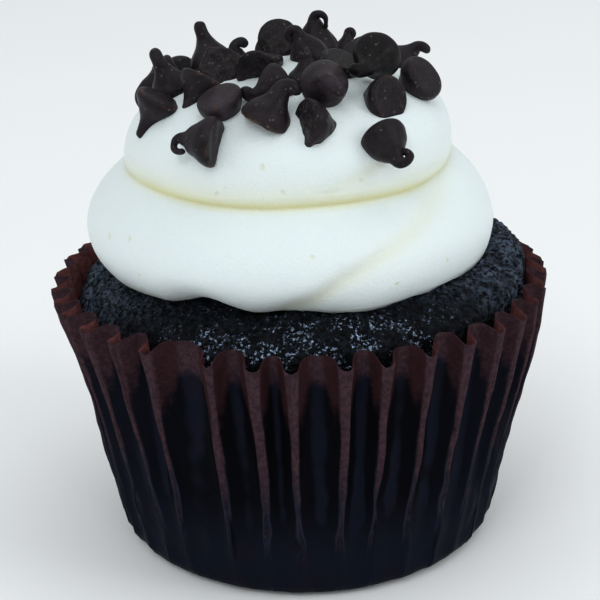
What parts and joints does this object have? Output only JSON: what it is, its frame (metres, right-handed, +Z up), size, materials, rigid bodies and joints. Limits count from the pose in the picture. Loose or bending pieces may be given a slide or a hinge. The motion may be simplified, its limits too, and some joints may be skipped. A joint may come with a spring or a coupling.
{
  "type": "cupcake",
  "caption": "Dark chocolate cupcake in a pleated paper case, topped with a two-lap swirl of white frosting and scattered chocolate drops.",
  "frame": {"origin": "middle of the flat underside of the paper case, on the surface that it stands on", "axes": "+Z up, front (the side shown) towards -Y, +X to the right seen from the front"},
  "size_m": [0.0722, 0.0723, 0.0753],
  "materials": {
    "paper": "matte, grease-darkened",
    "cake": "porous crumb with a slight moist sheen",
    "frosting": "satin, finely grained",
    "chocolate": "satin, rubbed"
  },
  "bodies": {
    "root": {"cake": "cake", "chip_01": "chocolate", "chip_02": "chocolate", "chip_03": "chocolate", "chip_04": "chocolate", "chip_05": "chocolate", "chip_06": "chocolate", "chip_07": "chocolate", "chip_08": "chocolate", "chip_09": "chocolate", "chip_10": "chocolate", "chip_11": "chocolate", "chip_12": "chocolate", "chip_13": "chocolate", "chip_14": "chocolate", "chip_15": "chocolate", "chip_16": "chocolate", "chip_17": "chocolate", "chip_18": "chocolate", "chip_19": "chocolate", "chip_20": "chocolate", "chip_21": "chocolate", "chip_22": "chocolate", "chip_23": "chocolate", "chip_24": "chocolate", "chip_25": "chocolate", "chip_26": "chocolate", "chip_27": "chocolate", "chip_28": "chocolate", "chip_29": "chocolate", "chip_30": "chocolate", "chip_31": "chocolate", "chip_32": "chocolate", "chip_33": "chocolate", "chip_34": "chocolate", "frosting": "frosting", "paper_case": "paper"}
  },
  "joints": []
}
